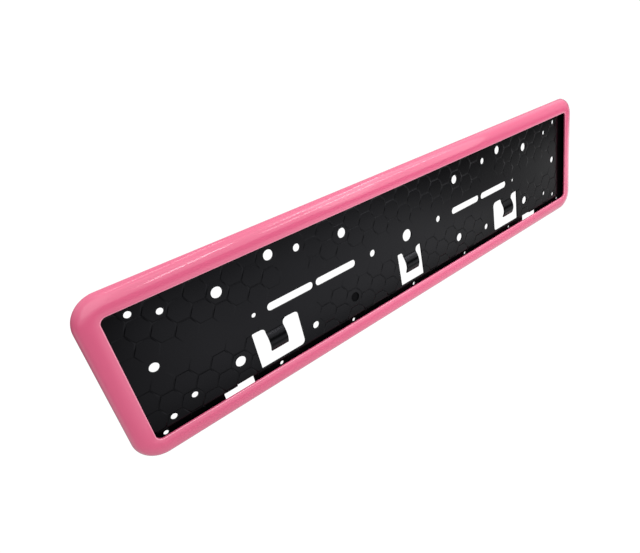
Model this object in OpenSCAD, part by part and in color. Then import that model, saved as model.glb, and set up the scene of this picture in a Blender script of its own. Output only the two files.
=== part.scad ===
// Number plate holder for a car: a flat base that screws to the bumper, and a crowned
// bezel that snaps over the base and laps over the edges of the plate.
// Everything is drawn lying on its back and is stood up at the end, so that the holder
// faces -Y, its back is the plane Y = 0, and its screw holes are centred on the origin.

/* [Number plate] */
// Width of the plate that the holder takes
plate_w = 520; // [516:1:524]
// Height of the plate that the holder takes
plate_h = 112; // [111:0.5:114]
// Play between the edge of the plate and the wall round it
plate_play = 0.4; // [0.2:0.1:0.8]

/* [Front bezel] */
// How far the bezel laps over each end of the plate
side_overlap = 6; // [5:0.5:7]
// How far the bezel laps over the top and the bottom edge of the plate
top_overlap = 7.8; // [7:0.1:8]
// How far the middle of the window lies below the middle of the screw holes
window_drop = 0.4; // [0:0.1:1]
// Inside corner radius of the window
window_corner_r = 4.5; // [3:0.5:7]
// Width of the bezel from the window to its outer edge
border_w = 15.2; // [15:0.1:16.5]
// Height of the window's edge in front of the back plane
lip_height = 6.7; // [6.5:0.1:7.5]
// Thickness of the bezel's skin
bezel_t = 1.4; // [1:0.1:1.6]
// Radius of the outer shoulder of the bezel
shoulder_r = 6; // [5.8:0.1:6.4]
// Radius of the gentle crown between the window and the shoulder
crown_r = 22; // [20:1:30]
// Rounding of the window's edge
edge_r = 0.5; // [0.3:0.1:0.6]
// How far the rear edge of the bezel stays in front of the back plane
rear_set = 0.8; // [0.4:0.1:1.2]

/* [Base plate] */
// Thickness of the floor
floor_t = 1.5; // [1.2:0.1:1.6]
// Thickness of the wall round the plate
wall_t = 1.5; // [1.2:0.1:1.6]
// Inside corner radius of the wall
wall_corner_r = 8; // [6:0.5:10]
// Gap between the edge of the floor and the bezel
flange_gap = 0.3; // [0.2:0.05:0.5]
// Gap between the top of the wall and the bezel
seat_gap = 0.15; // [0.1:0.05:0.3]

/* [Screw holes] */
// Distance of the corner holes from the end of the plate
corner_hole_in = 22; // [18:0.5:26]
// Height of the corner holes above and below the middle
corner_hole_z = 41.3; // [40:0.1:42]
// Diameter of the corner holes
corner_hole_d = 5; // [4:0.1:6]
// Distance of the outer holes from the end of the plate
outer_hole_in = 40.2; // [36:0.1:46]
// Height of the outer holes above and below the middle
outer_hole_z = 34.4; // [30:0.1:36]
// Diameter of the outer holes
outer_hole_d = 5; // [4:0.1:6]
// Distance of the large holes from the middle
large_hole_x = 181; // [176:0.1:190]
// Height of the large holes above and below the middle
large_hole_z = 29.3; // [26:0.1:34]
// Diameter of the large holes
large_hole_d = 8.6; // [7:0.1:10]
// Distance of the two upper holes from the middle
upper_hole_x = 136.3; // [130:0.1:150]
// Height of the two upper holes above the middle
upper_hole_z = 38.6; // [30:0.1:40]
// Diameter of the two upper holes
upper_hole_d = 8.4; // [7:0.1:10]
// Distance of the inner holes from the middle
inner_hole_x = 112.3; // [108:0.1:116]
// Height of the inner holes above and below the middle
inner_hole_z = 34.5; // [28:0.1:38]
// Diameter of the inner holes
inner_hole_d = 6.3; // [5:0.1:8]
// Distance of the near holes from the middle
near_hole_x = 69.2; // [60:0.1:80]
// Height of the near holes above and below the middle
near_hole_z = 29.5; // [24:0.1:36]
// Diameter of the near holes
near_hole_d = 8.4; // [7:0.1:10]
// Depth of the one near hole that is left blind
blind_depth = 1; // [0.6:0.1:1.1]

/* [Holes on the middle line] */
// Distance of the end holes from the end of the plate
end_hole_in = 23.4; // [20:0.1:30]
// Diameter of the end holes
end_hole_d = 7.2; // [6:0.1:9]
// Distance of the pilot holes from the middle
pilot_hole_x = 160.6; // [156:0.1:170]
// Diameter of the pilot holes
pilot_hole_d = 3.9; // [3:0.1:5]
// Distance of the centre pair from the middle
pair_hole_x = 42.1; // [30:0.1:52]
// Diameter of the centre pair
pair_hole_d = 6.3; // [5:0.1:8]
// Diameter of the hole in the very middle
centre_hole_d = 11.2; // [9:0.1:13]

/* [Slots] */
// Distance from the middle to the near end of the inner slots
inner_slot_x = 61.5; // [58:0.1:66]
// Length of the inner slots, end to end
inner_slot_l = 42; // [36:0.5:42]
// Distance from the middle to the near end of the outer slots
outer_slot_x = 106; // [106:0.1:108]
// Length of the outer slots, end to end
outer_slot_l = 43; // [36:0.5:44]
// Width of all four slots
slot_w = 6.8; // [5:0.1:8]

/* [Spring tongues] */
// Distance of the outer tongues from the middle
tongue_x = 148; // [145:0.5:150]
// Width of a tongue
tongue_w = 15.4; // [12:0.1:17]
// Length of a tongue
tongue_l = 20.6; // [18:0.1:24]
// Flat stretch at the root of a tongue, and the radius of its two root corners
tongue_root_l = 4; // [2:0.1:4.2]
// Length from the root to the highest point of a tongue
tongue_peak_l = 14; // [12:0.1:16]
// How far the highest point stands in front of the floor
tongue_peak = 2.9; // [2:0.1:3.6]
// How far the tip stands in front of the floor
tongue_tip = 1; // [0.5:0.1:2]
// Top edge of the openings round the tongues, below the middle
cutout_top = 13.6; // [12:0.1:15]
// Bottom edge of the openings round the tongues, below the middle
cutout_bottom = 44.9; // [42:0.1:46]
// Width of the middle opening
middle_cutout_w = 30; // [26:0.5:34]
// Distance from the middle to the near side of the outer openings
outer_cutout_x = 125.3; // [122:0.1:128]
// Width of the outer openings
outer_cutout_w = 41.7; // [40:0.1:42]
// Corner radius of the middle opening, and of the outer ones away from the middle
cutout_r = 0.8; // [0.5:0.1:2]
// Corner radius of the outer openings on their side towards the middle
cutout_near_r = 4; // [1:0.1:5]

/* [Drains and notches] */
// Distance of the corner drains from the end of the plate
corner_drain_in = 13; // [11:0.5:20]
// Depth of the corner drains below the middle
corner_drain_z = 49.5; // [48.5:0.1:51]
// Diameter of the corner drains
corner_drain_d = 3.9; // [3:0.1:4.5]
// Spacing of the five small drains
drain_pitch = 75.2; // [70:0.1:78]
// Depth of the small drains below the middle
drain_z = 49.2; // [48:0.1:51]
// Diameter of the small drains
drain_d = 3.5; // [2.5:0.1:4]
// Distance from the middle to the near side of the bottom notches
notch_x = 175.7; // [172:0.1:180]
// Width of a bottom notch
notch_w = 25.3; // [20:0.1:28]
// Top edge of the higher part of a notch, below the middle
notch_top = 45.5; // [44:0.1:48]
// Width of the higher part of a notch
notch_high_w = 13.8; // [8:0.1:16]
// How much lower the rest of a notch starts
notch_step = 1.2; // [0.5:0.1:2]

/* [Snap fit] */
// Clearance between a hook of the bezel and its catch on the wall
snap_gap = 0.15; // [0.1:0.05:0.25]
// How far a catch stands out from the wall
catch_out = 0.6; // [0.4:0.1:0.8]
// Height of a catch
catch_h = 0.8; // [0.6:0.1:1]
// How far the top of a catch lies below the top of the wall
catch_drop = 0.4; // [0.2:0.1:0.6]
// Length of a catch along the wall
catch_l = 10; // [8:0.5:14]
// Length of a hook along the wall
hook_l = 8; // [5:0.5:12]
// Thickness of a hook
hook_t = 1.2; // [0.8:0.1:1.3]
// Height of the nose of a hook
nose_h = 0.9; // [0.6:0.1:1]
// Distance of the outermost hooks on the long sides from the end of the plate
hook_in = 60; // [40:1:80]
// Thickness of the ribs that the bezel stands on
rib_t = 1.2; // [0.8:0.1:1.6]
// Distance of the outermost ribs on the long sides from the end of the plate
rib_in = 20; // [16:1:30]
// Distance of the ribs on the short sides from the edge of the plate
end_rib_in = 26; // [18:1:34]

/* [Hidden] */

round_fn = 48;
corner_fn = 96;
// How far one shape runs into the next so that they join
join = 0.4;
// How far a cut runs past the face that it breaks
past = 1;
// Points on the arcs of the bezel's section
edge_steps = 4;
crown_steps = 9;
shoulder_steps = 12;
// Points along each side of a tongue
tongue_steps = 16;

window_w = plate_w - 2 * side_overlap;
window_h = plate_h - 2 * top_overlap;
bed_w = plate_w + 2 * plate_play;
bed_h = plate_h + 2 * plate_play;

// The bezel's section runs outward from the window's edge and forward from the back
// plane. A crown arc through the window's edge meets the shoulder arc without a kink.
lip = [0, lip_height];
shoulder = [border_w - shoulder_r, 0];
span = norm(shoulder - lip);
heading = (shoulder - lip) / span;
along = (crown_r^2 - (crown_r - shoulder_r)^2 + span^2) / (2 * span);
across = sqrt(crown_r^2 - along^2);
crown = lip + along * heading + across * [heading[1], -heading[0]];
crown_end = atan2(shoulder[1] - crown[1], shoulder[0] - crown[0]);
edge = [edge_r, crown[1] + sqrt((crown_r - edge_r)^2 - (edge_r - crown[0])^2)];
crown_start = atan2(edge[1] - crown[1], edge[0] - crown[0]);
inner_shoulder_r = shoulder_r - bezel_t;
inner_crown_r = crown_r - bezel_t;
mid_shoulder_r = shoulder_r - bezel_t / 2;
mid_crown_r = crown_r - bezel_t / 2;
join_u = shoulder[0] + mid_shoulder_r * cos(crown_end);

// Distances outward from the window's edge
side_wall_u = side_overlap + plate_play + wall_t;
top_wall_u = top_overlap + plate_play + wall_t;
flange_u = shoulder[0] + sqrt(inner_shoulder_r^2 - floor_t^2) - flange_gap;
wall_corner_off = [bed_w - window_w, bed_h - window_h] / 2 + (window_corner_r - wall_corner_r) * [1, 1];
corner_wall_u = norm(wall_corner_off) + wall_corner_r + wall_t - window_corner_r;

// The wall ends just under the bezel where its corners reach furthest out
wall_top = crown[1] + sqrt(inner_crown_r^2 - (corner_wall_u - crown[0])^2) - seat_gap;
catch_low = wall_top - catch_drop - catch_h;

// Places along the sides: five hooks on a long side, with a rib half way between each two
// and one near each corner, and one hook between two ribs on a short side
hook_pitch = (plate_w / 2 - hook_in) / 2;
long_hooks = [for (i = [-2 : 2]) i * hook_pitch];
rib_end = plate_w / 2 - rib_in;
long_ribs = concat([-rib_end], [for (i = [-2 : 1]) (i + 0.5) * hook_pitch], [rib_end]);
end_ribs = [end_rib_in - plate_h / 2, plate_h / 2 - end_rib_in];

// Holes that stand four by four about the middle: distance, height and diameter
quad_holes = [
    [plate_w / 2 - corner_hole_in, corner_hole_z, corner_hole_d],
    [plate_w / 2 - outer_hole_in, outer_hole_z, outer_hole_d],
    [large_hole_x, large_hole_z, large_hole_d],
    [inner_hole_x, inner_hole_z, inner_hole_d]
];
// Holes in pairs on the middle line: distance and diameter
line_holes = [
    [plate_w / 2 - end_hole_in, end_hole_d],
    [pilot_hole_x, pilot_hole_d],
    [pair_hole_x, pair_hole_d]
];

// Points along an arc about c from one angle to the other
function arc(c, r, a0, a1, steps, first = 0) =
    [for (i = [first : steps]) c + r * [cos(a0 + (a1 - a0) * i / steps), sin(a0 + (a1 - a0) * i / steps)]];

// Height of the middle of the bezel's skin at u outward from the window's edge
function mid_skin(u) = u < join_u
    ? crown[1] + sqrt(mid_crown_r^2 - (u - crown[0])^2)
    : sqrt(mid_shoulder_r^2 - (u - shoulder[0])^2);

// How far a tongue stands forward at v down from its root: it swells from flat to its
// highest point along half a cosine wave, then curls back to the tip
function swell(v) =
    v < tongue_root_l ? 0
    : v < tongue_peak_l ? tongue_peak * (1 - cos(180 * part_way(v, tongue_root_l, tongue_peak_l))) / 2
    : tongue_peak - (tongue_peak - tongue_tip) * (1 - cos(90 * part_way(v, tongue_peak_l, tongue_l)));

// How far v has gone from one place to the next, from 0 to 1
function part_way(v, from, to) = (v - from) / (to - from);

// Flat block with round corners, standing on the back plane
module rounded_block(w, h, r, t, fn = corner_fn) {
    translate([-w / 2, r - h / 2, 0]) cube([w, h - 2 * r, t]);
    translate([r - w / 2, -h / 2, 0]) cube([w - 2 * r, h, t]);
    for (x = [r - w / 2, w / 2 - r], y = [r - h / 2, h / 2 - r])
        translate([x, y, 0]) cylinder(r = r, h = t, $fn = fn);
}

// Round hole through the floor
module hole(x, y, d) {
    translate([x, y, -past]) cylinder(d = d, h = floor_t + 2 * past, $fn = round_fn);
}

// Slot through the floor with round ends
module slot(x, l) {
    translate([x, -slot_w / 2, -past])
        translate([slot_w / 2, 0, 0]) cube([l - slot_w, slot_w, floor_t + 2 * past]);
    for (end = [slot_w / 2, l - slot_w / 2]) hole(x + end, 0, slot_w);
}

// Fills the tip of a corner at the origin up to a round of radius r
module corner_fill(r, t) {
    difference() {
        translate([-join, -join, 0]) cube([r + join, r + join, t]);
        translate([r, r, -past]) cylinder(r = r, h = t + 2 * past, $fn = round_fn);
    }
}

// Opening that leaves a tongue free on three sides, w wide from x on. Its corners have
// radius r, and those at its near side near_r.
module cutout(x, w, near_r, r) {
    h = cutout_bottom - cutout_top;
    through = floor_t + 2 * past;
    translate([x, -cutout_bottom, -past]) difference() {
        cube([w, h, through]);
        corner_fill(near_r, through);
        translate([0, h, 0]) mirror([0, 1, 0]) corner_fill(near_r, through);
        translate([w, 0, 0]) mirror([1, 0, 0]) corner_fill(r, through);
        translate([w, h, 0]) rotate([0, 0, 180]) corner_fill(r, through);
    }
}

// Leaf spring that hangs from the top of its opening and pushes the plate forward
module tongue() {
    down = [for (i = [0 : tongue_steps]) tongue_l * i / tongue_steps];
    front = [for (v = down) [-v, floor_t + swell(v)]];
    back = [for (i = [tongue_steps : -1 : 0]) [-down[i], swell(down[i])]];
    translate([-tongue_w / 2, -cutout_top, 0])
        rotate([90, 0, 90])
            linear_extrude(tongue_w) polygon(concat([[join, floor_t]], front, back, [[join, 0]]));
    for (turn = [0, 1]) mirror([turn, 0, 0])
        translate([tongue_w / 2, -cutout_top, 0]) mirror([0, 1, 0]) corner_fill(tongue_root_l, floor_t);
}

// Notch in the bottom edge of the floor: a higher part next to a lower one
module notch() {
    bottom = bed_h / 2 + window_drop;
    translate([notch_x, -bottom, -past])
        cube([notch_high_w, bottom - notch_top, floor_t + 2 * past]);
    translate([notch_x + notch_high_w - join, -bottom, -past])
        cube([notch_w - notch_high_w + join, bottom - notch_top - notch_step, floor_t + 2 * past]);
}

// What repeats along the two long sides, and then along the two short sides. It is drawn
// outward from the middle of a window edge, and places lists how far along the edge.
module on_long_sides(places) {
    for (turn = [0, 180], x = places)
        rotate([0, 0, turn]) translate([x, window_h / 2, 0]) children();
}

module on_short_sides(places) {
    for (turn = [90, 270], x = places)
        rotate([0, 0, turn]) translate([x, window_w / 2, 0]) children();
}

// A section drawn outward and forward, given a length along the side
module along_side(l) {
    translate([-l / 2, 0, 0]) rotate([90, 0, 90]) linear_extrude(l) children();
}

// Catch on the outside of the wall, sloped in front so that a hook slides over it
module catch(wall_u) {
    along_side(catch_l) polygon([
        [wall_u - join, catch_low],
        [wall_u + catch_out, catch_low],
        [wall_u + catch_out, catch_low + catch_h / 2],
        [wall_u, catch_low + catch_h],
        [wall_u - join, catch_low + catch_h]
    ]);
}

// Hook inside the bezel, with a nose that springs in behind a catch
module hook(wall_u) {
    arm = wall_u + catch_out + snap_gap;
    nose = wall_u + snap_gap;
    nose_top = catch_low - snap_gap;
    along_side(hook_l) polygon([
        [arm, mid_skin(arm)],
        [arm, nose_top],
        [nose, nose_top],
        [nose, nose_top - nose_h / 2],
        [arm, nose_top - nose_h],
        [arm + hook_t, nose_top - nose_h],
        [arm + hook_t, mid_skin(arm + hook_t)]
    ]);
}

// Rib inside the bezel that stands on the floor outside the wall
module rib(wall_u) {
    start = wall_u + 2 * snap_gap;
    foot = asin(floor_t / mid_shoulder_r);
    top = acos((start - crown[0]) / mid_crown_r);
    along_side(rib_t) polygon(concat(
        [[start, floor_t]],
        arc(shoulder, mid_shoulder_r, foot, crown_end, shoulder_steps),
        arc(crown, mid_crown_r, crown_end, top, crown_steps, 1)
    ));
}

// Section of the bezel: window edge, crown, shoulder, and the same curves inside
module bezel_section() {
    polygon(concat(
        arc(edge, edge_r, 180, crown_start, edge_steps),
        arc(crown, crown_r, crown_start, crown_end, crown_steps, 1),
        arc(shoulder, shoulder_r, crown_end, asin(rear_set / shoulder_r), shoulder_steps, 1),
        arc(shoulder, inner_shoulder_r, asin(rear_set / inner_shoulder_r), crown_end, shoulder_steps),
        arc(crown, inner_crown_r, crown_end, acos(-crown[0] / inner_crown_r), crown_steps, 1)
    ));
}

// Floor with its flange, the wall round the plate, and the catches outside the wall
module tray() {
    rounded_block(window_w + 2 * flange_u, window_h + 2 * flange_u, window_corner_r + flange_u, floor_t);
    difference() {
        rounded_block(bed_w + 2 * wall_t, bed_h + 2 * wall_t, wall_corner_r + wall_t, wall_top);
        translate([0, 0, -past]) rounded_block(bed_w, bed_h, wall_corner_r, wall_top + 2 * past);
    }
    on_long_sides(long_hooks) catch(top_wall_u);
    on_short_sides([0]) catch(side_wall_u);
}

// All the holes, slots, drains and notches in the floor
module floor_cuts() {
    for (h = quad_holes, sx = [-1, 1], sy = [-1, 1]) hole(sx * h[0], sy * h[1], h[2]);
    for (h = line_holes, sx = [-1, 1]) hole(sx * h[0], 0, h[1]);
    for (sx = [-1, 1]) {
        hole(sx * upper_hole_x, upper_hole_z, upper_hole_d);
        hole(sx * near_hole_x, near_hole_z, near_hole_d);
        hole(sx * (plate_w / 2 - corner_drain_in), -corner_drain_z, corner_drain_d);
    }
    hole(near_hole_x, -near_hole_z, near_hole_d);
    translate([-near_hole_x, -near_hole_z, floor_t - blind_depth])
        cylinder(d = near_hole_d, h = blind_depth + past, $fn = round_fn);
    hole(0, 0, centre_hole_d);
    for (i = [-2 : 2]) hole(i * drain_pitch, -drain_z, drain_d);
    slot(inner_slot_x, inner_slot_l);
    slot(outer_slot_x, outer_slot_l);
    slot(-inner_slot_x - inner_slot_l, inner_slot_l);
    slot(-outer_slot_x - outer_slot_l, outer_slot_l);
    cutout(-middle_cutout_w / 2, middle_cutout_w, cutout_r, cutout_r);
    for (side = [0, 1]) mirror([side, 0, 0])
        cutout(outer_cutout_x, outer_cutout_w, cutout_near_r, cutout_r);
    notch();
    mirror([1, 0, 0]) notch();
}

module base_plate() {
    color("#1c1c1f") rotate([90, 0, 0]) {
        difference() {
            translate([0, -window_drop, 0]) tray();
            floor_cuts();
        }
        for (x = [-tongue_x, 0, tongue_x]) translate([x, 0, 0]) tongue();
    }
}

module front_bezel() {
    color("#e6578e") rotate([90, 0, 0]) translate([0, -window_drop, 0]) {
        on_long_sides([0]) along_side(window_w - 2 * window_corner_r) bezel_section();
        on_short_sides([0]) along_side(window_h - 2 * window_corner_r) bezel_section();
        for (flip_x = [0, 1], flip_y = [0, 1])
            mirror([flip_x, 0, 0]) mirror([0, flip_y, 0])
                translate([window_w / 2 - window_corner_r, window_h / 2 - window_corner_r, 0])
                    rotate_extrude(angle = 90, $fn = corner_fn)
                        translate([window_corner_r, 0]) bezel_section();
        on_long_sides(long_hooks) hook(top_wall_u);
        on_short_sides([0]) hook(side_wall_u);
        on_long_sides(long_ribs) rib(top_wall_u);
        on_short_sides(end_ribs) rib(side_wall_u);
    }
}

base_plate();
front_bezel();
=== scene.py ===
"""Number plate holder: a black base plate with a honeycomb relief and a glossy pink bezel.

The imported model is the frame. The two pieces made here stand for its two nodes: they keep
the form and the size of the solids and add smooth curves, the honeycomb and the finishes.
"""
import math
from types import SimpleNamespace

import bpy
import numpy as np
from bpy.props import FloatProperty, FloatVectorProperty, PointerProperty
from mathutils import Matrix, Vector
from mathutils.geometry import delaunay_2d_cdt


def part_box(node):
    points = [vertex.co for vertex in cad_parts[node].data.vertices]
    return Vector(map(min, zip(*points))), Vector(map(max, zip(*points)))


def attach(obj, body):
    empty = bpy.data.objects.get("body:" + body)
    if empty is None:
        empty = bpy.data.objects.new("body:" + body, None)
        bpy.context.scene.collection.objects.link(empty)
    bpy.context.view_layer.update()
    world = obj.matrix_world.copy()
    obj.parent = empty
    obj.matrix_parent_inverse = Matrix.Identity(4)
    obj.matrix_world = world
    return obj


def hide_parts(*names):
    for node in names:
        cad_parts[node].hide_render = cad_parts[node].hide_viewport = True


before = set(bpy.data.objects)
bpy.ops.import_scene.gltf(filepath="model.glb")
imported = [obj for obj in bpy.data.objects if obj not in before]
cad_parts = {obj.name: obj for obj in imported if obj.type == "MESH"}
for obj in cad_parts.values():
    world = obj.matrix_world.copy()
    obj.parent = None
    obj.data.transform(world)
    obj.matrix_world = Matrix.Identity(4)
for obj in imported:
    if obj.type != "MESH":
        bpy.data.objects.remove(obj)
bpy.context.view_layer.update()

bl_info = {
    "name": "Number plate holder",
    "version": (1, 0),
    "blender": (4, 5, 0),
    "location": "View3D > Sidebar > Plate holder",
    "description": "Builds the two moulded pieces of a number plate holder and a studio",
    "category": "Add Mesh",
}

MM = 0.001
BODY = "root"


def length(name, description, millimetres):
    """A length property whose default is given in millimetres."""
    return FloatProperty(name=name, description=description, default=millimetres * MM,
                         min=0.0, unit="LENGTH", subtype="DISTANCE", precision=5)


def tint(name, description, colour):
    """A colour property."""
    return FloatVectorProperty(name=name, description=description, default=colour,
                               size=3, min=0.0, max=1.0, subtype="COLOR")


def share(name, description, value, highest=1.0):
    """A plain number from 0 to highest."""
    return FloatProperty(name=name, description=description, default=value, min=0.0, max=highest)


def brightness(name, what, value):
    """The brightness of a light or of something that glows."""
    return share(name, "Brightness of " + what, value, 50.0)


class BezelSizes(bpy.types.PropertyGroup):
    """Sizes of the pink bezel's section, as in the solid."""
    border: length("Border", "Width of the bezel from the window to its outer edge", 15.2)
    window_corner: length("Window corner", "Inside corner radius of the window", 4.5)
    lip_height: length("Lip height", "Height of the window's edge in front of the back", 6.7)
    skin: length("Skin", "Thickness of the bezel's skin", 1.4)
    shoulder: length("Shoulder", "Radius of the outer shoulder", 6.0)
    crown: length("Crown", "Radius of the gentle crown", 22.0)
    edge: length("Edge", "Rounding of the window's edge", 0.5)
    rear_set: length("Rear set", "Distance from the back plane to the rear edge", 0.8)


class BaseSizes(bpy.types.PropertyGroup):
    """Sizes of the black base plate, as in the solid. But the solid's tongues rise along a
    half cosine, and it has no honeycomb."""
    floor: length("Floor", "Thickness of the floor", 1.5)
    wall: length("Wall", "Thickness of the wall round the plate", 1.5)
    wall_corner: length("Wall corner", "Inside corner radius of the wall", 8.0)
    flange_gap: length("Flange gap", "Gap between the floor's edge and the bezel", 0.3)
    side_bed: length("Side bed", "From the window's end to the wall's inner face", 6.4)
    top_bed: length("Top bed", "From the window's top to the wall's inner face", 8.2)
    slot_width: length("Slot width", "Width of the four slots", 6.8)
    blind_depth: length("Blind depth", "Depth of the blind hole", 1.0)
    tongue_width: length("Tongue width", "Width of a spring tongue", 15.4)
    tongue_length: length("Tongue length", "Length of a spring tongue", 20.6)
    tongue_root: length("Tongue root", "Flat part at a tongue's root, and its corner radius", 4.0)
    tongue_bend: length("Tongue bend", "Length of the bend where a tongue starts to rise", 1.3)
    tongue_peak_at: length("Tongue peak at", "From a tongue's root to its highest point", 14.0)
    tongue_peak: length("Tongue peak", "Height of the highest point in front of the floor", 2.9)
    tongue_tip: length("Tongue tip", "Height of the tip in front of the floor", 1.0)
    cutout_top: length("Opening top", "Top of the openings below the middle", 13.6)
    cutout_bottom: length("Opening bottom", "Bottom of the openings below the middle", 44.9)
    cutout_corner: length("Opening corner", "Corner radius of an opening", 0.8)
    cutout_near: length("Near corner", "The same, for the corners of the outer openings that "
                        "are nearer to the middle", 4.0)
    groove_width: length("Groove width", "Width of a honeycomb groove", 1.5)
    groove_depth: length("Groove depth", "Depth of a honeycomb groove", 0.18)
    cell_rise: length("Cell rise", "Half the height of a honeycomb cell", 8.0)
    cell_start: length("Cell start", "Height of the first edges of the honeycomb", 13.5)
    middle_cells: length("Middle cells", "Spacing of the columns in the middle patch", 14.15)
    outer_cells: length("Outer cells", "Spacing of the columns in the outer patches", 13.9)
    outer_first: length("Outer first", "Place of an outer patch's first column", 138.8)


class ClipSizes(bpy.types.PropertyGroup):
    """Sizes of the hooks, catches and ribs between the two pieces, as in the solid."""
    gap: length("Gap", "Clearance between a hook and its catch", 0.15)
    catch_out: length("Catch out", "How far a catch stands out from the wall", 0.6)
    catch_height: length("Catch height", "Height of a catch", 0.8)
    catch_drop: length("Catch drop", "From the top of the wall down to a catch", 0.4)
    catch_length: length("Catch length", "Length of a catch along the wall", 10.0)
    hook_length: length("Hook length", "Length of a hook along the wall", 8.0)
    hook_thickness: length("Hook thickness", "Thickness of a hook", 1.2)
    nose_height: length("Nose height", "Height of a hook's nose", 0.9)
    hook_pitch: length("Hook pitch", "Spacing of the hooks on the long sides", 100.0)
    rib_thickness: length("Rib thickness", "Thickness of a rib", 1.2)
    rib_end: length("Rib end", "Place of the outermost ribs on the long sides", 240.0)
    end_rib: length("End rib", "Place of the ribs on the short sides", 30.0)


class HolderColours(bpy.types.PropertyGroup):
    """Colours and finishes of the two plastics."""
    pink: tint("Pink", "Colour of the bezel", (0.775, 0.133, 0.256))
    # Painted highlight: a lighter pink laid along the window's thin edge, standing in for the light
    # that the edge's rounding catches
    rim: tint("Rim", "Colour of the bezel's thin inner edge, where light shines through",
              (0.95, 0.38, 0.50))
    black: tint("Black", "Colour of the base plate", (0.001, 0.001, 0.0012))
    black_shine: tint("Black shine", "Colour of the base plate's reflections", (0.9, 0.9, 1.0))
    pink_roughness: share("Pink roughness", "Roughness of the bezel", 0.13)
    pink_coat: share("Pink coat", "Weight of the clear gloss on the bezel", 0.6)
    coat_roughness: share("Coat roughness", "Roughness of the clear gloss", 0.03)
    pink_grain: share("Pink grain", "Strength of the fine grain on the bezel", 0.015)
    pink_ior: share("Pink refraction", "Refractive index of the bezel", 1.5, 3.0)
    black_roughness: share("Black roughness", "Roughness of the base plate", 0.18)
    black_mirror: share("Black mirror", "Strength of the base plate's reflections", 0.228)
    black_grain: share("Black grain", "Strength of the fine grain on the base plate", 0.05)
    black_ior: share("Black refraction", "Refractive index of the base plate", 1.48, 3.0)


class StudioSettings(bpy.types.PropertyGroup):
    """Lights, floor and camera."""
    focal: FloatProperty(name="Focal length", description="Focal length on a 36 mm sensor",
                         default=25.184, min=1.0, unit="CAMERA")
    floor_drop: length("Floor drop", "Height of the holder's middle over the floor", 250.0)
    horizon: brightness("Horizon", "the surroundings at the horizon", 0.10)
    zenith: brightness("Zenith", "the surroundings overhead", 0.9)
    wall: brightness("Wall", "the wide softbox in front", 0.98)
    key: brightness("Key", "the softbox to the left, added to the wide one's", 0.5)
    high: brightness("High", "the softbox above", 0.4)
    side: brightness("Side", "the softbox to the right", 0.19)
    near: brightness("Near", "the tall softbox near the right half", 1.2)
    near_side: brightness("Near side", "the tall softbox near the right end", 0.18)
    fill: brightness("Fill", "the small light low in front of the middle", 1.8)
    strips: brightness("Strips", "the brightest long thin light", 9.0)
    floor_glow: brightness("Floor glow", "the floor below and behind the holder", 0.7)
    floor_band: brightness("Floor band", "the band in front of the holder, added to the glow", 1.65)
    floor_right: brightness("Floor right", "the floor far to the right, added to the glow", 0.8)


# Brightness of the floor and the surroundings to the camera: plain white
WHITE = 1.05

# Softboxes: setting, azimuth from the front to the right, elevation, distance in metres,
# width, height, and how far right of the middle the box is aimed
SOFTBOXES = (("wall", 0, 24, 1.5, 2.35, 1.22, 0.0), ("key", -30, 12, 1.5, 1.3, 0.9, 0.0),
             ("high", 20, 68, 1.45, 1.35, 1.15, 0.0), ("side", 72, 24, 1.5, 1.4, 1.22, 0.0),
             ("near", 35, 30, 0.6, 0.4, 0.72, 0.1), ("near_side", 70, 30, 0.6, 0.4, 0.72, 0.1))

# Small light low in front of the middle: its place, what it faces, and its size
FILL = ((0.03, -0.2, -0.14), (0.02, 0.0, -0.055), (0.2, 0.08))

# Long thin lights: both ends in metres, and brightness as a share of the brightest one's
STRIPS = (("low_strip", (-0.04, -1.275, 0.32), (0.27, -1.15, 0.52), 1.0),
          ("right_strip", (0.38, -1.185, 0.325), (1.05, -0.8, 0.425), 0.6),
          ("top_strip", (-0.19, -0.65, 1.24), (0.25, 0.28, 1.315), 0.6),
          ("far_strip", (0.4, -1.06, 0.715), (0.83, -0.16, 1.085), 0.7))
STRIP_WIDTH = 0.04

# How far the floor reaches to each side of the middle, in metres
FLOOR_REACH = 6
# Glow of the floor at a distance in Y, as a share of the brightest
GLOW_DEPTH = ((-0.9, 0.0), (-0.6, 0.15), (-0.46, 0.3), (-0.34, 0.3), (-0.25, 0.3),
              (-0.15, 0.65), (-0.05, 1.0), (0.1, 1.0), (0.25, 0.5), (0.5, 0.2), (1.2, 0.12))
# Bright band on the floor: how bright it is at a distance in Y, and along X
BAND_DEPTH = ((-1.1, 0.0), (-0.95, 0.15), (-0.8, 0.32), (-0.73, 0.38), (-0.66, 0.6),
              (-0.6, 0.83), (-0.55, 0.95), (-0.49, 1.0), (-0.43, 1.0), (-0.38, 0.95),
              (-0.34, 0.65), (-0.3, 0.2), (-0.25, 0.0))
BAND_LENGTH = ((-0.5, 0.0), (-0.35, 0.1), (-0.2, 0.6), (-0.1, 0.95), (0.05, 0.85), (0.2, 1.0),
               (0.35, 1.0), (0.5, 0.95), (0.6, 0.7), (0.7, 0.38), (0.8, 0.22), (1.1, 0.15),
               (1.4, 0.0))
# Bright round pool on the floor to the right: its middle in X and Y, and its radius
POOL = (1.3, -0.1, 0.75)

# The camera: its place, and the directions behind it and to its right
CAMERA_PLACE = (-0.26199, -0.27936, 0.15128)
CAMERA_BACK = (-0.46128, -0.78353, 0.41630)
CAMERA_RIGHT = (0.78791, -0.57747, -0.21383)

# Grain: its noise scale, the weight of its wide waves, and its depth in metres
PINK_GRAIN = (900.0, 1.0, 0.04 * MM)
BLACK_GRAIN = (2600.0, 1.0, 0.2 * MM)

# Corners of an upright rectangle: side, height, and the angle where the corner's arc starts
CORNERS = ((1, 1, 0), (-1, 1, 90), (-1, -1, 180), (1, -1, 270))

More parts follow.
